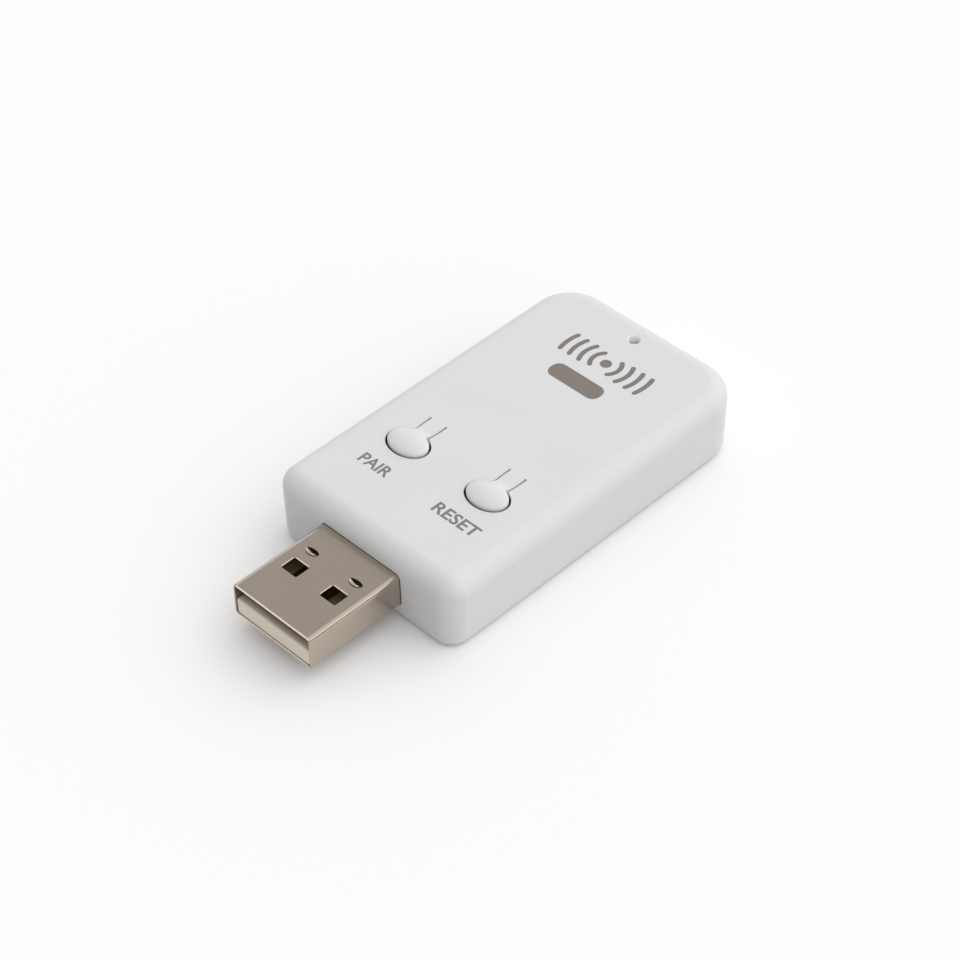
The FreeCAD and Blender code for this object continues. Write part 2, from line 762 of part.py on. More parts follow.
def make_inductor():
    """A square drum with a waist between its two flanges."""
    y = front + inductor_place
    drum = block(0, y, board_top, (inductor_width, inductor_width, inductor_height))
    upright = [edge for edge in drum.Edges if edge.BoundBox.ZLength > inductor_height / 2]
    drum = drum.makeChamfer(inductor_corner, upright)
    waist_height = inductor_height - 2 * inductor_flange
    around = block(0, y, board_top + inductor_flange, (2 * inductor_width, 2 * inductor_width, waist_height))
    return drum.cut(around.cut(cylinder(0, y, board_top, board_top + inductor_height, inductor_waist)))


def make_crystal():
    x, y = crystal_place[0], shield_y + crystal_place[1]
    base_top = board_top + crystal_base[2]
    cap = block(x, y, base_top, crystal_cap)
    cap = cap.makeChamfer(crystal_bevel, edges_at(cap, base_top + crystal_cap[2]))
    return block(x, y, board_top, crystal_base).fuse(cap)


def make_antenna():
    """A folded copper trace along the board's far end, beside the light."""
    near = back - antenna_from_back - antenna_run
    far = back - antenna_from_back
    points = [(-antenna_side, antenna_y), (-antenna_side, far)]
    for turn in range(1, antenna_turns):
        x = -antenna_side - turn * antenna_step
        points += [(x, far), (x, near)] if turn % 2 else [(x, near), (x, far)]
    return ribbon(points, trace_width, plan(board_top), Vector(0, 0, trace_sheet))


def chip_part(x, y, size):
    """A ceramic block with two plated ends that stand a little proud."""
    whole = block(x, y, board_top, (size[0] - 2 * cap_length, size[1] - 2 * cap_proud, size[2] - cap_proud))
    for way in (-1, 1):
        end = x + way * (size[0] - cap_length) / 2
        whole = whole.fuse(block(end, y, board_top, (cap_length, size[1], size[2])))
    return whole


def beside_shield(places):
    row = shield_width / 2 + radio_side
    return [(side * row, shield_y + shift) for side, shift in places]


def make_capacitors():
    places = [(x, front + y) for x, y in power_capacitors] + beside_shield(radio_capacitors)
    return Part.makeCompound([chip_part(x, y, capacitor_size) for x, y in places])


def make_resistors():
    places = beside_shield(radio_resistors) + [(x, back - y) for x, y in back_resistors]
    return Part.makeCompound([chip_part(x, y, resistor_size) for x, y in places])


def all_pieces():
    pieces = {
        "top_cover": make_top_cover(),
        "bottom_cover": make_bottom_cover(),
        "light_pipe": make_light_pipe(),
        "usb_shell": make_usb_shell(),
        "usb_insulator": make_usb_insulator(),
        "circuit_board": make_circuit_board(),
        "shield_can": make_shield_can(),
        "radio_chip": make_chip(-chip_shift, shield_y, chip_size),
        "crystal": make_crystal(),
        "antenna": make_antenna(),
        "voltage_regulator": make_regulator(),
        "power_inductor": make_inductor(),
        "surge_guard": make_chip(0, front + guard_place, guard_size),
        "status_lamp": block(0, light_y, board_top, lamp_size),
        "capacitors": make_capacitors(),
        "resistors": make_resistors(),
    }
    for number, x in enumerate(contact_places, 1):
        pieces["usb_contact_%d" % number] = make_usb_contact(x)
    for name, side in (("pair", -1), ("reset", 1)):
        x, y = side * button_spread, front + button_place
        pieces[name + "_button"] = make_button(side)
        pieces[name + "_switch_base"] = make_switch_base(x, y)
        pieces[name + "_switch_plate"] = make_switch_plate(x, y)
        pieces[name + "_switch_dome"] = make_switch_dome(x, y)
        pieces[name + "_switch_plunger"] = make_switch_plunger(x, y)
        pieces[name + "_switch_terminals"] = make_switch_terminals(x, y)
    return pieces


os.makedirs("parts", exist_ok=True)
for node, shape in all_pieces().items():
    shape.exportStep("parts/%s.step" % node)
    print("%-26s valid %s solids %d volume %.3f" % (node, shape.isValid(), len(shape.Solids), shape.Volume))
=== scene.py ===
import json
import math

import bmesh
import bpy
import numpy as np
from mathutils import Matrix, Vector


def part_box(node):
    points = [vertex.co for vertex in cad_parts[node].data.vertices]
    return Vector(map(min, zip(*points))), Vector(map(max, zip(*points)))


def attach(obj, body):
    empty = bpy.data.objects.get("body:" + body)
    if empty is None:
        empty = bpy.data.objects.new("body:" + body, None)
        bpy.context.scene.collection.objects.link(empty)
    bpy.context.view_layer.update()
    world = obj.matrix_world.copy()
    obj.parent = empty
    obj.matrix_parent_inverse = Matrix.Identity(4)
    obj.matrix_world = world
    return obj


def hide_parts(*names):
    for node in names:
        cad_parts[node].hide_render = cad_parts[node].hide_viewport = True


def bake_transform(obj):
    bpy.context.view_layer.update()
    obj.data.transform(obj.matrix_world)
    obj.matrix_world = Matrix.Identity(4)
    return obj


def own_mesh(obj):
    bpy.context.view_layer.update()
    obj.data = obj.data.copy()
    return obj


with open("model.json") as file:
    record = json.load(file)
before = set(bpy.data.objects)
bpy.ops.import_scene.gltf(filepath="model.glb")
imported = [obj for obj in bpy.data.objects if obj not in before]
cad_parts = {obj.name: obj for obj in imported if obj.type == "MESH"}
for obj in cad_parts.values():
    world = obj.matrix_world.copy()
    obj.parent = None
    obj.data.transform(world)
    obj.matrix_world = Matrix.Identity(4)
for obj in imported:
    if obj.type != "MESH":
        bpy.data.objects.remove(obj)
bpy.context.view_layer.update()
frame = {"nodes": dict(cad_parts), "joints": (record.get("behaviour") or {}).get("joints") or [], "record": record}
mm = 0.001


# Places that the pieces below share, in millimetres, partly read from the imported parts and partly given.
coverHigh = np.array(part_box("top_cover")[1]) / mm
casingLength = 47.2
place = {
    "top": coverHigh[2],                        # the casing's flat top face
    "front": coverHigh[1] - casingLength,       # its front face, beside the plug
    "middleHeight": coverHigh[2] / 2,
    "buttonAside": 6.1,                         # the middle of a button from the casing's middle
    "tip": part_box("usb_shell")[0][1] / mm,      # the plug's open end
}

meshing = {
    "gap": 0.0002,                     # millimetres; points closer than this are merged
    "sharpAngle": 35,                  # degrees; edges steeper than this stay sharp
}


# A socket of a shader tree that takes part in sums like a number.
class Signal:
    def __init__(self, shading, socket):
        self.shading = shading
        self.socket = socket

    def combine(self, operation, first, second):
        return self.shading.add("Math", {"operation": operation}, {0: first, 1: second})

    def __add__(self, other):
        return self.combine("ADD", self, other)

    def __radd__(self, other):
        return self.combine("ADD", other, self)

    def __sub__(self, other):
        return self.combine("SUBTRACT", self, other)

    def __rsub__(self, other):
        return self.combine("SUBTRACT", other, self)

    def __mul__(self, other):
        return self.combine("MULTIPLY", self, other)

    def __rmul__(self, other):
        return self.combine("MULTIPLY", other, self)

    def __abs__(self):
        return self.shading.add("Math", {"operation": "ABSOLUTE"}, {0: self})

    def below(self, limit):
        return self.combine("LESS_THAN", self, limit)

    def above(self, limit):
        return self.combine("GREATER_THAN", self, limit)


# One node tree, of a material or of the world.
class Shading:
    def __init__(self, tree):
        self.tree = tree
        tree.nodes.clear()

    # kind is the node's type, settings are its own properties, inputs are values or signals by socket
    def add(self, kind, settings, inputs, output=0):
        node = self.tree.nodes.new("ShaderNode" + kind)
        for key, value in settings.items():
            if key == "stops":
                ramp = node.color_ramp
                while len(ramp.elements) < len(value):
                    ramp.elements.new(0.5)
                for element, (position, colour) in zip(ramp.elements, value):
                    element.position = position
                    element.color = colour
            else:
                setattr(node, key, value)
        for key, value in inputs.items():
            if isinstance(value, Signal):
                self.tree.links.new(value.socket, node.inputs[key])
            else:
                node.inputs[key].default_value = value
        return Signal(self, node.outputs[output]) if node.outputs else None

    def close(self, kind, signal):
        self.add("Output" + kind, {}, {"Surface": signal})


def rgb(red, green, blue):
    return (red, green, blue, 1.0)


def startMaterial(name):
    material = bpy.data.materials.new(name)
    material.use_nodes = True
    return material, Shading(material.node_tree)


def closeMaterial(shading, inputs):
    shading.close("Material", shading.add("BsdfPrincipled", {}, inputs))


# The place on the piece, in metres, as a vector or along one axis.
def spotOnPiece(shading):
    return shading.add("TexCoord", {}, {}, output="Object")


def placeAlong(shading, axis):
    return shading.add("SeparateXYZ", {}, {0: spotOnPiece(shading)}, output=axis)


# Rises from 0 at the first limit to 1 at the second.
def rise(shading, value, limits):
    return shading.add("MapRange", {}, {"Value": value, "From Min": limits[0], "From Max": limits[1]})


# Noise on the piece, with grains of the given size in millimetres.
def grain(shading, size, detail=3.0, stretch=None):
    spot = spotOnPiece(shading)
    if stretch:
        spot = shading.add("Mapping", {}, {"Vector": spot, "Scale": stretch})
    return shading.add("TexNoise", {}, {"Vector": spot, "Scale": 1 / (size * mm), "Detail": detail})


# A value that noise moves by a spread around its middle.
def varied(middle, spread, noise):
    return middle - spread / 2 + spread * noise


# The Mix node has sockets for each kind of value; these are the ones for colours.
mixSockets = {"amount": 0, "low": 6, "high": 7, "result": 2}


# Two colours mixed by a signal.
def tint(shading, amount, low, high):
    sockets = mixSockets
    return shading.add("Mix", {"data_type": "RGBA"}, {sockets["amount"]: amount, sockets["low"]: low,
                                                      sockets["high"]: high}, output=sockets["result"])


def raised(shading, height, distance):
    return shading.add("Bump", {}, {"Height": height, "Distance": distance * mm})


# Lengths in the finishes are in millimetres.
casingFinish = {
    "colour": rgb(0.742, 0.748, 0.758),
    "deep": rgb(0.728, 0.734, 0.744),
    "cloudSize": 9.0,
    "roughness": 0.50,
    "roughnessSpread": 0.07,
    "grainSize": 0.16,                 # spark-eroded mould texture
    "grainHeight": 0.0018,
    "paintedShadeColour": rgb(0.06, 0.058, 0.055),    # painted shade for the walls of the keyholes, which lie in deep shade
    "insideDepths": (0.06, 0.40),      # under the top face, where that begins and is full
    "insideHalf": 3.4,                 # half the width of the box around a keyhole that is shaded
    "insideEnds": (10.2, 15.0),        # and the ends of that box, from the casing's front face
    # painted light for the wall of the status light's hole
    "paintedLightColour": rgb(0.96, 0.955, 0.95),
    "holeReach": 0.8,                  # around the middle of the light's hole
    "holeUnder": 0.02,                 # under the top face
}


# 1 in the keyholes around the buttons, whose walls get painted shade, and 0 elsewhere.
def keyholeShade(shading):
    across, along, up = (placeAlong(shading, axis) for axis in "XYZ")
    depths = [(place["top"] - depth) * mm for depth in casingFinish["insideDepths"]]
    near, far = ((place["front"] + end) * mm for end in casingFinish["insideEnds"])
    aside = abs(abs(across) - place["buttonAside"] * mm)
    beside = aside.below(casingFinish["insideHalf"] * mm)
    return rise(shading, up, depths) * beside * along.above(near) * along.below(far)


# 1 on the wall of the status light's hole, which gets painted light: a paler colour for the light that the light
# pipe and the thin roof around it let through.
def holeWallPaintedLight(shading):
    low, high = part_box("light_pipe")
    middle = ((low[0] + high[0]) / 2, (low[1] + high[1]) / 2, 0.0)
    spot = spotOnPiece(shading)
    level = shading.add("VectorMath", {"operation": "MULTIPLY"}, {0: spot, 1: (1.0, 1.0, 0.0)})
    away = shading.add("VectorMath", {"operation": "DISTANCE"}, {0: level, 1: middle}, output="Value")
    under = (place["top"] - casingFinish["holeUnder"]) * mm
    return away.below(casingFinish["holeReach"] * mm) * placeAlong(shading, "Z").below(under)


def casingPlastic():
    finish = casingFinish
    material, shading = startMaterial("casing_plastic")
    fine = grain(shading, finish["grainSize"])
    cloud = grain(shading, finish["cloudSize"], detail=2.0)
    colour = tint(shading, cloud, finish["deep"], finish["colour"])
    # painted shade on the walls of the keyholes
    colour = tint(shading, keyholeShade(shading), colour, finish["paintedShadeColour"])
    # painted light on the wall of the status light's hole
    colour = tint(shading, holeWallPaintedLight(shading), colour, finish["paintedLightColour"])
    closeMaterial(shading, {
        "Base Color": colour, "Roughness": varied(finish["roughness"], finish["roughnessSpread"], fine),
        "Normal": raised(shading, fine, finish["grainHeight"]), "IOR": 1.5})
    return material


# Each ink is two close colours that its specks mix.
inkFinish = {
    "printed_ink": (rgb(0.195, 0.165, 0.142), rgb(0.245, 0.21, 0.182)),
    "legend_ink": (rgb(0.19, 0.18, 0.167), rgb(0.24, 0.23, 0.215)),
    "speckSize": 0.35,
    "roughness": 0.55,
    "roughnessSpread": 0.1,
}


def printedInk(name):
    finish = inkFinish
    material, shading = startMaterial(name)
    speck = grain(shading, finish["speckSize"], detail=4.0)
    closeMaterial(shading, {
        "Base Color": tint(shading, speck, *finish[name]),
        "Roughness": varied(finish["roughness"], finish["roughnessSpread"], speck)})
    return material


plugFinish = {
    "colour": rgb(0.52, 0.45, 0.38),
    "deep": rgb(0.485, 0.415, 0.35),
    "cloudSize": 2.5,
    "roughness": 0.20,
    "roughnessSpread": 0.07,
    "drawSize": 0.12,                  # faint rolling marks along the sheet
    "drawStretch": (1.0, 0.12, 1.0),
    "drawHeight": 0.00015,
}


def nickelSheet():
    finish = plugFinish
    material, shading = startMaterial("nickel_sheet")
    rolled = grain(shading, finish["drawSize"], stretch=finish["drawStretch"])
    cloud = grain(shading, finish["cloudSize"])
    closeMaterial(shading, {
        "Base Color": tint(shading, cloud, finish["deep"], finish["colour"]), "Metallic": 1.0,
        "Roughness": varied(finish["roughness"], finish["roughnessSpread"], rolled),
        "Normal": raised(shading, rolled, finish["drawHeight"])})
    return material


insulatorFinish = {
    "colour": rgb(0.90, 0.81, 0.69),
    "deep": rgb(0.86, 0.77, 0.65),
    "paintedShadeColour": rgb(0.25, 0.20, 0.13),      # painted shade behind the open end, standing in for the shell's brown shade
    "insideDepths": (0.35, 1.3),       # from the open end, where that begins and is full
    "roughness": 0.45,
    "roughnessSpread": 0.1,
    "grainSize": 0.2,
    "grainHeight": 0.001,
}


def insulatorPlastic():
    finish = insulatorFinish
    material, shading = startMaterial("insulator_plastic")
    fine = grain(shading, finish["grainSize"])
    depths = [(place["tip"] + depth) * mm for depth in finish["insideDepths"]]
    # painted shade: the insulator turns brown behind the open end, where the shell shades it
    inside = rise(shading, placeAlong(shading, "Y"), depths)
    colour = tint(shading, fine, finish["deep"], finish["colour"])
    closeMaterial(shading, {
        "Base Color": tint(shading, inside, colour, finish["paintedShadeColour"]),
        "Roughness": varied(finish["roughness"], finish["roughnessSpread"], fine),
        "Normal": raised(shading, fine, finish["grainHeight"])})
    return material


pipeFinish = {
    "colour": rgb(0.78, 0.79, 0.8),
    "roughness": 0.325,
    "roughnessSpread": 0.15,
    "grainSize": 0.1,
    "clearness": 0.35,
}


def clearPipe():
    finish = pipeFinish
    material, shading = startMaterial("clear_pipe")
    fine = grain(shading, finish["grainSize"], detail=2.0)
    closeMaterial(shading, {
        "Base Color": finish["colour"], "IOR": 1.49, "Transmission Weight": finish["clearness"],
        "Roughness": varied(finish["roughness"], finish["roughnessSpread"], fine)})
    return material


# Moulded or plated finishes of the parts inside: two close colours, fine grain and a roughness that varies
# with it.
plainFinishes = {
    "contact_gold": {"colour": rgb(0.86, 0.64, 0.27), "deep": rgb(0.80, 0.57, 0.22), "metallic": 1.0,
                     "roughness": 0.25, "grainSize": 0.3, "grainHeight": 0.0005},
    "board_laminate": {"colour": rgb(0.02, 0.16, 0.07), "deep": rgb(0.01, 0.11, 0.045), "metallic": 0.0,
                       "roughness": 0.3, "grainSize": 0.6, "grainHeight": 0.001},
    "trace_copper": {"colour": rgb(0.78, 0.42, 0.24), "deep": rgb(0.70, 0.36, 0.19), "metallic": 1.0,
                     "roughness": 0.35, "grainSize": 0.4, "grainHeight": 0.001},
    "plated_steel": {"colour": rgb(0.72, 0.72, 0.73), "deep": rgb(0.66, 0.66, 0.67), "metallic": 1.0,
                     "roughness": 0.3, "grainSize": 0.4, "grainHeight": 0.001},
    "tinned_metal": {"colour": rgb(0.68, 0.68, 0.70), "deep": rgb(0.60, 0.60, 0.62), "metallic": 1.0,
                     "roughness": 0.35, "grainSize": 0.3, "grainHeight": 0.001},
    "black_plastic": {"colour": rgb(0.03, 0.03, 0.032), "deep": rgb(0.018, 0.018, 0.02), "metallic": 0.0,
                      "roughness": 0.5, "grainSize": 0.12, "grainHeight": 0.001},
    "plunger_plastic": {"colour": rgb(0.10, 0.10, 0.10), "deep": rgb(0.07, 0.07, 0.07), "metallic": 0.0,
                        "roughness": 0.4, "grainSize": 0.12, "grainHeight": 0.001},
    "lamp_plastic": {"colour": rgb(0.88, 0.84, 0.6), "deep": rgb(0.84, 0.78, 0.5), "metallic": 0.0,
                     "roughness": 0.25, "grainSize": 0.2, "grainHeight": 0.001},
    "chip_ceramic": {"colour": rgb(0.45, 0.33, 0.22), "deep": rgb(0.38, 0.27, 0.17), "metallic": 0.0,
                     "roughness": 0.4, "grainSize": 0.15, "grainHeight": 0.001},
}
plainRoughnessSpread = 0.1


def plainFinish(name):
    finish = plainFinishes[name]
    material, shading = startMaterial(name)
    fine = grain(shading, finish["grainSize"])
    closeMaterial(shading, {
        "Base Color": tint(shading, fine, finish["deep"], finish["colour"]), "Metallic": finish["metallic"],
        "Roughness": varied(finish["roughness"], plainRoughnessSpread, fine),
        "Normal": raised(shading, fine, finish["grainHeight"])})
    return material


# The finish of each material slot in the record.
def makeMaterials():
    made = {
        "casing_plastic": casingPlastic(),
        "plug_steel": nickelSheet(),
        "clear_plastic": clearPipe(),
        "insulator_plastic": insulatorPlastic(),
    }
    for name in plainFinishes:
        made[name] = plainFinish(name)
    return made


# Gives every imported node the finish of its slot.
def dressNodes(finishes):
    slots = {part["node"]: part["material_slot"] for part in frame["record"]["subparts"]}
    for name, piece in frame["nodes"].items():
        piece.data.materials.clear()
        piece.data.materials.append(finishes[slots[name]])


# Fitted to the photograph's outline of the casing and the plug. Angles are in degrees.
camera = {
    "azimuth": 45.2307,
    "elevation": 43.1439,
    "roll": -0.9480,
    "distance": 277.876 * mm,
    "slideRight": 12.7813 * mm,        # the view's middle, from the middle of the casing's front face
    "slideUp": 8.7389 * mm,
    "lens": 97.126,
    "sensor": 36,
    "nearest": 0.01,                   # metres
    "farthest": 10,
}


def makeCamera():
    turn = math.radians(camera["azimuth"])
    lift = math.radians(camera["elevation"])
    roll = math.radians(camera["roll"])
    back = Vector((math.sin(turn) * math.cos(lift), -math.cos(turn) * math.cos(lift), math.sin(lift)))
    level = Vector((math.cos(turn), math.sin(turn), 0))
    steep = back.cross(level)
    right = math.cos(roll) * level + math.sin(roll) * steep
    up = back.cross(right)
    middle = Vector((0, place["front"], place["middleHeight"])) * mm
    aim = middle + right * camera["slideRight"] + up * camera["slideUp"]
    data = bpy.data.cameras.new("studio_camera")
    data.lens = camera["lens"]
    data.sensor_width = camera["sensor"]
    data.clip_start = camera["nearest"]
    data.clip_end = camera["farthest"]
    holder = bpy.data.objects.new("studio_camera", data)
    axes = Matrix((right, up, back)).transposed()
    holder.matrix_world = Matrix.Translation(aim + back * camera["distance"]) @ axes.to_4x4()
    bpy.context.scene.collection.objects.link(holder)
    bpy.context.scene.camera = holder


studio = {
    "sky": 0.88,                       # what the world sends to matt surfaces from overhead
    "skyTilt": (0.18, 0.42, 0.0),      # how much more comes from the side of +X and +Y
    "skyGloss": (                      # what gloss shows of it, from the horizon up
        (0.00, 0.22), (0.20, 0.22), (0.32, 1.70), (0.46, 1.70), (0.64, 0.58), (1.00, 0.58),
    ),
    "softboxStrength": 0.12,
    "softboxFrom": (0.30, 0.45, 0.84),
    "softboxAngle": 60,                # degrees across
    "floorColour": 0.66,
    "floorSize": 1.2,                  # metres, as the next one is
    "floorUnder": 0.00005,             # so that it doesn't coincide with the underside
}


# Which rays meet a surface: those from the camera, from gloss and through clear plastic.
def rayKinds(shading):
    kinds = ("Camera", "Glossy", "Transmission")
    return [shading.add("LightPath", {}, {}, output="Is %s Ray" % kind) for kind in kinds]


# A white backdrop to the camera, a sky that is brighter on one side to matt surfaces, and a bright band over
# a dim horizon to glossy ones. A ramp holds no level above 1, so it holds the halves of skyGloss.
def makeWorld():
    world = bpy.data.worlds.new("studio_world")
    world.use_nodes = True
    bpy.context.scene.world = world
    shading = Shading(world.node_tree)
    seen, gloss, through = rayKinds(shading)
    direction = shading.add("TexCoord", {}, {}, output="Generated")
    height = shading.add("SeparateXYZ", {}, {0: direction}, output="Z")
    stops = [(spot, rgb(level / 2, level / 2, level / 2)) for spot, level in studio["skyGloss"]]
    glossy = 2.0 * shading.add("ValToRGB", {"stops": stops}, {0: height})
    tilt = shading.add("VectorMath", {"operation": "DOT_PRODUCT"}, {0: direction, 1: studio["skyTilt"]},
                       output="Value")
    matt = studio["sky"] + tilt
    backdrop = shading.add("Math", {"operation": "ADD", "use_clamp": True}, {0: seen, 1: through})
    strength = matt + backdrop * (1.0 - matt)
    strength = strength + gloss * (glossy - strength)
    shading.close("World", shading.add("Background", {}, {"Color": rgb(1, 1, 1), "Strength": strength}))


def makeSoftbox():
    lamp = bpy.data.lights.new("softbox", "SUN")
    lamp.energy = studio["softboxStrength"] * math.pi
    lamp.angle = math.radians(studio["softboxAngle"])
    holder = bpy.data.objects.new("softbox", lamp)
    holder.rotation_mode = "QUATERNION"
    holder.rotation_quaternion = Vector(studio["softboxFrom"]).to_track_quat("Z", "Y")
    bpy.context.scene.collection.objects.link(holder)


# White to the camera, to gloss and through clear plastic, and duller where it lights the part.
def makeFloor():
    half, under = studio["floorSize"] / 2, -studio["floorUnder"]
    mesh = bpy.data.meshes.new("studio_floor")
    corners = [(-half, -half, under), (half, -half, under), (half, half, under), (-half, half, under)]
    mesh.from_pydata(corners, [], [(0, 1, 2, 3)])
    floor = bpy.data.objects.new("studio_floor", mesh)
    bpy.context.scene.collection.objects.link(floor)
    material, shading = startMaterial("studio_floor")
    seen, gloss, through = rayKinds(shading)
    backdrop = shading.add("Math", {"operation": "ADD", "use_clamp": True}, {0: seen, 1: gloss + through})
    dull = studio["floorColour"]
    colour = tint(shading, backdrop, rgb(dull, dull, dull), rgb(1, 1, 1))
    shading.close("Material", shading.add("BsdfDiffuse", {}, {"Color": colour}))
    mesh.materials.append(material)


# Merges the points of a form that coincide, turns its faces outwards and hands it over to the mesh.
def closeForm(made, mesh, gap):
    bmesh.ops.remove_doubles(made, verts=made.verts, dist=gap * mm)
    bmesh.ops.recalc_face_normals(made, faces=made.faces)
    made.to_mesh(mesh)
    made.free()


# Closed tubes from grids of points in millimetres: each row is a ring whose last point joins the first,
# and the rows at the ends may shrink to a point.
def ringMesh(name, grids):
    mesh = bpy.data.meshes.new(name)
    made = bmesh.new()
    for grid in grids:
        rows, columns = grid.shape[:2]
        number = np.arange(rows * columns).reshape(rows, columns)
        beside = np.roll(number, -1, axis=1)
        faces = np.stack([number[:-1], number[1:], beside[1:], beside[:-1]], axis=-1).reshape(-1, 4)
        part = bpy.data.meshes.new("part")
        part.from_pydata((grid.reshape(-1, 3) * mm).tolist(), [], faces.tolist())
        made.from_mesh(part)
        bpy.data.meshes.remove(part)
    closeForm(made, mesh, meshing["gap"])
    mesh.shade_smooth()
    mesh.set_sharp_from_angle(angle=math.radians(meshing["sharpAngle"]))
    return mesh


# Values of a whole mesh as one array, with a row for each of its points, faces or corners.
def readArray(elements, name, width=1, kind=float):
    values = np.empty(len(elements) * width, dtype=kind)
    elements.foreach_get(name, values)
    return values.reshape(-1, width) if width > 1 else values


# Smooth shading that leaves wide faces flat beside the narrow ones of a rounding: at each corner of a face
# the normals of all faces that meet at its point within the sharp angle are added up by the faces' areas.
def smoothFaces(mesh):
    if "custom_normal" in mesh.attributes:
        mesh.attributes.remove(mesh.attributes["custom_normal"])
    sharpAngle = math.radians(meshing["sharpAngle"])
    mesh.shade_smooth()
    mesh.set_sharp_from_angle(angle=sharpAngle)
    owner = np.repeat(np.arange(len(mesh.polygons)), readArray(mesh.polygons, "loop_total", kind=int))
    facing = readArray(mesh.polygons, "normal", width=3)[owner]
    weighted = facing * readArray(mesh.polygons, "area")[owner][:, None]
    point = readArray(mesh.loops, "vertex_index", kind=int)
    order = np.argsort(point, kind="stable")
    starts = np.searchsorted(point[order], point[order])
    sizes = np.bincount(point)[point[order]]
    # every pair of corners at one point: the corner itself, and each that it meets there in turn
    corner = np.repeat(order, sizes)
    turn = np.arange(len(corner)) - np.repeat(np.cumsum(sizes) - sizes, sizes)
    met = order[np.repeat(starts, sizes) + turn]
    near = (facing[corner] * facing[met]).sum(axis=1) > math.cos(sharpAngle)
    mixed = np.zeros_like(facing)
    np.add.at(mixed, corner[near], weighted[met[near]])
    mixed /= np.maximum(np.linalg.norm(mixed, axis=1, keepdims=True), 1e-12)
    mesh.normals_split_custom_set(mixed.tolist())


def addPiece(name, mesh, finish):
    piece = bpy.data.objects.new(name, mesh)
    bpy.context.scene.collection.objects.link(piece)
    mesh.materials.clear()
    mesh.materials.append(finish)
    return piece


# The caps and the keyholes around them are packed round and are ovals on the object, so points move out or
# in along their ray from the button's middle: all of it up to the circle, and less and less in a belt
# around it.
oval = {
    "wide": 2.77,                      # half the width of the gap's middle line
    "long": 2.03,
    "halfGap": 0.12,
    "shift": 0.22,                     # its middle lies this much nearer to the arm's root
    "belt": 1.7,
}


# The ellipse's radius along a ray is wide * long / hypot(long * across, wide * along), for a ray of length 1.
def toOval(across, along, circle, margin):
    wide, long = oval["wide"] + margin, oval["long"] + margin
    distance = np.hypot(across, along)
    safe = np.maximum(distance, 1e-9)
    radius = wide * long / np.maximum(np.hypot(long * across / safe, wide * along / safe), 1e-9)
    belt = np.clip((distance - circle) / oval["belt"], 0, 1)
    share = 1 - belt ** 2 * (3 - 2 * belt)
    stretch = 1 + (radius - circle) * np.minimum(distance / circle, 1) * share / safe
    return across * stretch, along * stretch + oval["shift"] * share


# A push button, in millimetres from the cap's middle and the cover's top face.
pushButton = {
    "fromFront": 13.0,
    "radius": 2.2,
    "crown": 0.8,
    "rim": 0.12,                       # how far the cap's side stands over the cover
    "skirtSlope": 38,                  # degrees, where the cap starts to run out into the arm
    "armWidth": 2.14,
    "armDepth": 0.8,                   # from the cover's top face to the arm's underside
    "padDepth": 1.3,                   # and to that of the pad under the cap
    "edge": 0.06,                      # the rounding along the arm's upper edges
    "stemRadius": 0.9,
    "stemTip": 0.45,                   # its radius at the foot
    "stemTaper": 0.4,                  # how high over the foot it starts to narrow
    "bendEnds": 2.6,                   # how far from its root the real arm bends
    "raysAtRoot": 8,                   # how finely it is meshed
    "raysAtSide": 26,
    "raysAround": 80,
    "rayGap": 0.002,                   # radians, on each side of where the arm's side meets the cap
    "ringsOnCrown": 34,
    "ringsOnArm": 26,
    "edgeTurns": (30, 60, 90),         # degrees, the steps of that rounding
}


# Height over the cover at a distance from the cap's middle: half an ellipsoid on the rim. Along the arm
# it is left at the skirt's slope, for a hollow arc that runs out level with the cover.
def capHeight(distance, alongArm):
    shape = pushButton
    radius, rim = shape["radius"], shape["rim"]
    crest = shape["crown"] - rim
    slope = math.radians(shape["skirtSlope"])
    leave = radius * math.tan(slope) / math.hypot(math.tan(slope), crest / radius)
    drop = rim + crest * math.sqrt(1 - (leave / radius) ** 2)
    hollow = drop / (1 - math.cos(slope))
    end = leave + hollow * math.sin(slope)
    cap = rim + crest * np.sqrt(np.maximum(1 - (distance / radius) ** 2, 0))
    onHollow = hollow - np.sqrt(np.maximum(hollow ** 2 - np.maximum(end - distance, 0) ** 2, 0))
    return np.where(alongArm & (distance > leave), onHollow, cap)


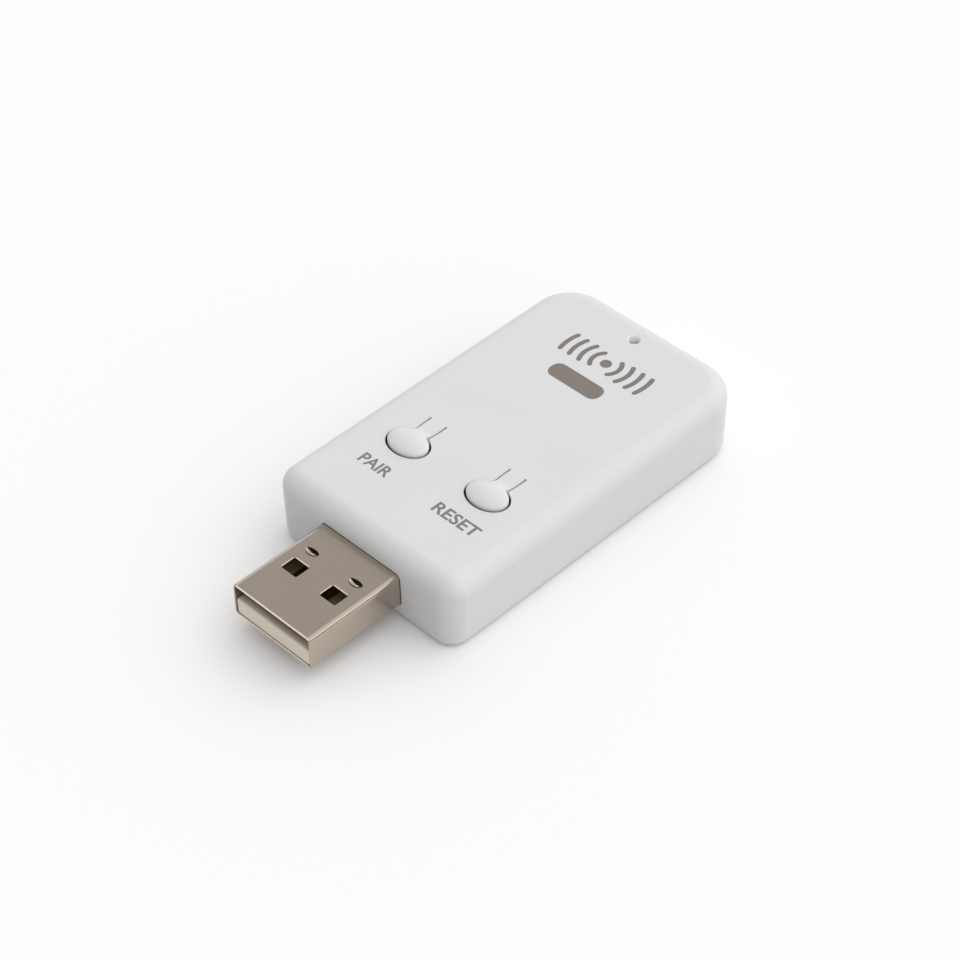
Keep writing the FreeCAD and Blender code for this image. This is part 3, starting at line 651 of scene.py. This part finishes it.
# Rings about the cap's middle. Their points lie at fixed angles from the arm's way, and each ring stops at
# the outline: the cap's circle or, within the arm's angle, the arm's side or its root. The rings go out
# over the cap, down the side, in under the arm and the pad, and down the stem.
def makePushButton(name, node, finish):
    shape = pushButton
    low, high = (np.array(corner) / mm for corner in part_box(node))
    middle = np.array([(low[0] + high[0]) / 2, low[1] + shape["radius"], place["top"]])
    reach = high[1] - middle[1]
    radius, half, edge = shape["radius"], shape["armWidth"] / 2, shape["edge"]
    corner = math.atan2(half, reach)
    joint = math.asin(half / radius)
    halfTurn = np.concatenate([np.linspace(0, corner, shape["raysAtRoot"]),
                               np.linspace(corner, joint - shape["rayGap"], shape["raysAtSide"])[1:],
                               np.linspace(joint + shape["rayGap"], math.pi, shape["raysAround"])])
    angle = np.concatenate([-halfTurn[:0:-1], halfTurn[:-1]])
    alongArm = np.abs(angle) < joint

    def outline(inset):
        side = (half - inset) / np.maximum(np.abs(np.sin(angle)), 1e-9)
        root = reach / np.maximum(np.cos(angle), 1e-9)
        return np.where(alongArm, np.maximum(radius, np.minimum(side, root)), radius)

    inside, outside = outline(edge), outline(0)
    distances = np.concatenate([radius * np.sin(np.linspace(0, math.pi / 2, shape["ringsOnCrown"])),
                                np.linspace(radius, reach / math.cos(corner), shape["ringsOnArm"])[1:]])
    rings = [(np.minimum(out, inside), capHeight(np.minimum(out, inside), alongArm)) for out in distances]
    lastHeight = rings[-1][1]
    for turn in np.radians(shape["edgeTurns"]):
        drop = np.where(outside > inside, edge * (1 - math.cos(turn)), 0)
        rings.append((inside + (outside - inside) * math.sin(turn), lastHeight - drop))
    foot = place["top"] - low[2]
    for out, depth in ((outside, shape["armDepth"]), (radius, shape["armDepth"]),
                       (radius, shape["padDepth"]), (shape["stemRadius"], shape["padDepth"]),
                       (shape["stemRadius"], foot - shape["stemTaper"]), (shape["stemTip"], foot), (0, foot)):
        rings.append((out + 0 * angle, -depth + 0 * angle))
    out = np.array([ring[0] for ring in rings])
    height = np.array([ring[1] for ring in rings])
    across, along = out * np.sin(angle), out * np.cos(angle)
    ovalAcross, ovalAlong = toOval(across, along, radius, -oval["halfGap"])
    stem = out <= shape["stemRadius"]
    stem[:len(distances)] = False
    grid = np.stack([np.where(stem, across, ovalAcross), np.where(stem, along, ovalAlong), height], axis=-1)
    grid = grid + middle
    piece = addPiece(name, ringMesh(name, [grid]), finish)
    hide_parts(node)
    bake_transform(piece)


keyhole = {
    "radius": 2.48,
    "roof": 1.3,                       # how thick the cover is there
    "roofMargin": 0.001,               # so that the roof's underside counts as roof
    "reach": 4.8,                      # how far from its middle the cover is cut into cells
    "cell": 0.6,
    "cutMargin": 0.0001,               # a cut takes points this near as lying on it
}


# The cover as packed, with its two keyholes drawn out to ovals. Cuts first divide the roof around each
# keyhole into cells, whose corners then follow the keyhole's edge. Faces without an area are removed last.
def makeCover(finish):
    shape = keyhole
    made = bmesh.new()
    made.from_mesh(frame["nodes"]["top_cover"].data)
    bmesh.ops.remove_doubles(made, verts=made.verts, dist=meshing["gap"] * mm)
    under = (place["top"] - shape["roof"] - shape["roofMargin"]) * mm
    reach = shape["reach"] * mm
    along = (place["front"] + pushButton["fromFront"]) * mm
    middles = [(sum(corner[0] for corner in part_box(node)) / 2, along)
               for node in ("pair_button", "reset_button")]

    def roofFaces(middle):
        found = []
        for face in made.faces:
            spots = [corner.co for corner in face.verts]
            near = all(min(spot[axis] for spot in spots) < middle[axis] + reach
                       and max(spot[axis] for spot in spots) > middle[axis] - reach for axis in (0, 1))
            if near and min(spot.z for spot in spots) > under:
                found.append(face)
        return found

    cuts = np.arange(-shape["reach"], shape["reach"] + shape["cell"] / 2, shape["cell"]) * mm
    for middle in middles:
        for normal in ((1, 0, 0), (0, 1, 0)):
            for cut in cuts:
                faces = roofFaces(middle)
                edges = list(dict.fromkeys(edge for face in faces for edge in face.edges))
                corners = list(dict.fromkeys(corner for face in faces for corner in face.verts))
                bmesh.ops.bisect_plane(made, geom=corners + edges + faces, dist=shape["cutMargin"] * mm,
                                       plane_co=(middle[0] + cut, middle[1] + cut, 0), plane_no=normal)
        bmesh.ops.triangulate(made, faces=roofFaces(middle))
    mesh = bpy.data.meshes.new("cover_shell")
    made.to_mesh(mesh)
    spots = readArray(mesh.vertices, "co", width=3)
    roof = spots[:, 2] > under
    for middle in middles:
        flat = (spots[roof, :2] - middle) / mm
        flat = np.stack(toOval(flat[:, 0], flat[:, 1], shape["radius"], oval["halfGap"]), axis=-1)
        spots[roof, :2] = flat * mm + middle
    mesh.vertices.foreach_set("co", spots.reshape(-1))
    made.clear()
    made.from_mesh(mesh)
    bmesh.ops.dissolve_degenerate(made, dist=meshing["gap"] * mm, edges=made.edges)
    made.to_mesh(mesh)
    made.free()
    smoothFaces(mesh)
    piece = addPiece("cover_shell", mesh, finish)
    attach(piece, "casing")
    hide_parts("top_cover")
    print("cover made of", len(mesh.polygons), "faces")


# The snap domes in the switches, copied from the nodes that the joints list as deforming; on the real switch they
# flatten onto their bases as the plungers come down.
def makeSnapDomes(finish):
    for joint in frame["joints"]:
        for row in joint.get("deforming_nodes", []):
            node = row["node"]
            name = node.replace("switch", "snap")
            piece = addPiece(name, frame["nodes"][node].data.copy(), finish)
            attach(piece, "casing")
            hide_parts(node)
            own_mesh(piece)


# What is printed on the top face. x is from the middle and y from the casing's front face, in millimetres.
printing = {
    "under": 0.01,                     # the ink's solid starts below the face
    "over": 0.012,
    "legends": (                       # name, text, left, right, baseline, height of its capitals
        ("pair_legend", "PAIR", -8.3, -3.9, 7.5, 1.6),
        ("reset_legend", "RESET", 3.1, 9.5, 7.5, 1.66),
    ),
    "boldness": 0.02,                  # in letter sizes
    "curveSteps": 6,
    "letterGap": 0.0005,               # points of a letter closer than this are merged
    "pill": {"left": -3.66, "right": 3.89, "y": 33.55, "half": 1.23, "corner": 1.05},
    "waves": {"x": 0.55, "y": 38.1, "dot": 0.7, "radii": (1.85, 3.2, 4.55, 5.9), "tall": 1.8,
              "steepest": 0.8, "half": 0.29},
    "endTurn": 0.12,                   # radians, where a stroke's rounded end starts
    "endRings": 10,
    "middleRings": 26,
}


# A legend from the built-in letters, stretched to its measured box.
def makeLegend(name, text, left, right, baseline, height, finish):
    letters = bpy.data.curves.new(name, "FONT")
    letters.body = text
    letters.offset = printing["boldness"]
    letters.extrude = 0.5              # any thickness, since the box decides it
    letters.resolution_u = printing["curveSteps"]
    holder = bpy.data.objects.new(name + "_letters", letters)
    mesh = bpy.data.meshes.new_from_object(holder)
    bpy.data.objects.remove(holder)
    spots = readArray(mesh.vertices, "co", width=3)
    low, high = spots.min(axis=0), spots.max(axis=0)
    start = np.array([left, place["front"] + baseline, place["top"] - printing["under"]])
    size = np.array([right - left, height, printing["under"] + printing["over"]])
    spots = (start + (spots - low) / (high - low) * size) * mm
    mesh.vertices.foreach_set("co", spots.reshape(-1))
    made = bmesh.new()
    made.from_mesh(mesh)
    closeForm(made, mesh, printing["letterGap"])
    mesh.name = name
    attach(addPiece(name, mesh, finish), "casing")


# A printed stroke: its width is carried along a centre line, which line gives with its normal as
# functions of the distance along it. Within a corner's radius of each end the half width falls as a
# quarter circle does.
def strokeGrid(line, length, half, corner):
    turn = np.linspace(printing["endTurn"], math.pi / 2, printing["endRings"])
    nearEnd = corner * (1 - np.cos(turn))
    narrow = half - corner + corner * np.sin(turn)
    between = np.linspace(corner, length - corner, printing["middleRings"])[1:-1]
    along = np.concatenate([nearEnd, between, length - nearEnd[::-1]])
    wide = np.concatenate([narrow, half + 0 * between, narrow[::-1]])[:, None]
    spot, normal = line(along)
    sides = np.stack([spot - wide * normal, spot + wide * normal, spot + wide * normal, spot - wide * normal],
                     axis=1)
    low, high = place["top"] - printing["under"], place["top"] + printing["over"]
    heights = np.broadcast_to(np.array([low, low, high, high])[:, None], sides.shape[:2] + (1,))
    grid = np.concatenate([sides, heights], axis=-1)
    ends = [np.repeat(ring.mean(axis=1, keepdims=True), 4, axis=1) for ring in (grid[:1], grid[-1:])]
    return np.concatenate([ends[0], grid, ends[1]])


def straightLine(left, y):
    def line(along):
        spot = np.stack([left + along, place["front"] + y + 0 * along], axis=-1)
        return spot, np.array([[0.0, 1.0]])
    return line


# A circular arc about (x, y) that starts below the middle line and ends above it, on one side.
def arcLine(x, y, radius, reach, side):
    def line(along):
        turn = along / radius - reach
        way = np.stack([side * np.cos(turn), np.sin(turn)], axis=-1)
        return np.array([x, place["front"] + y]) + radius * way, way
    return line


# A bare pill, and a dot between arcs as a plain sign for radio waves.
def makeMarks(finish, legendFinish):
    pill = printing["pill"]
    grid = strokeGrid(straightLine(pill["left"], pill["y"]), pill["right"] - pill["left"], pill["half"],
                      pill["corner"])
    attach(addPiece("pill_mark", ringMesh("pill_mark", [grid]), finish), "casing")
    waves = printing["waves"]
    dot = waves["dot"]
    grids = [strokeGrid(straightLine(waves["x"] - dot, waves["y"]), 2 * dot, dot, dot)]
    for radius in waves["radii"]:
        reach = math.asin(min(waves["tall"] / radius, waves["steepest"]))
        for side in (-1, 1):
            line = arcLine(waves["x"], waves["y"], radius, reach, side)
            grids.append(strokeGrid(line, 2 * reach * radius, waves["half"], waves["half"]))
    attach(addPiece("wave_mark", ringMesh("wave_mark", grids), finish), "casing")
    for legend in printing["legends"]:
        makeLegend(*legend, legendFinish)


finishes = makeMaterials()
dressNodes(finishes)
print("finishes given to", len(frame["nodes"]), "nodes")
makeCover(finishes["casing_plastic"])
for name in ("pair", "reset"):
    makePushButton(name + "_cap", name + "_button", finishes["casing_plastic"])
makeSnapDomes(finishes["plated_steel"])
print("push buttons and snap domes made")
makeMarks(printedInk("printed_ink"), printedInk("legend_ink"))
print("printing made")
bpy.context.scene.view_settings.view_transform = "Standard"
makeCamera()
makeWorld()
makeSoftbox()
makeFloor()
print("camera and studio ready")
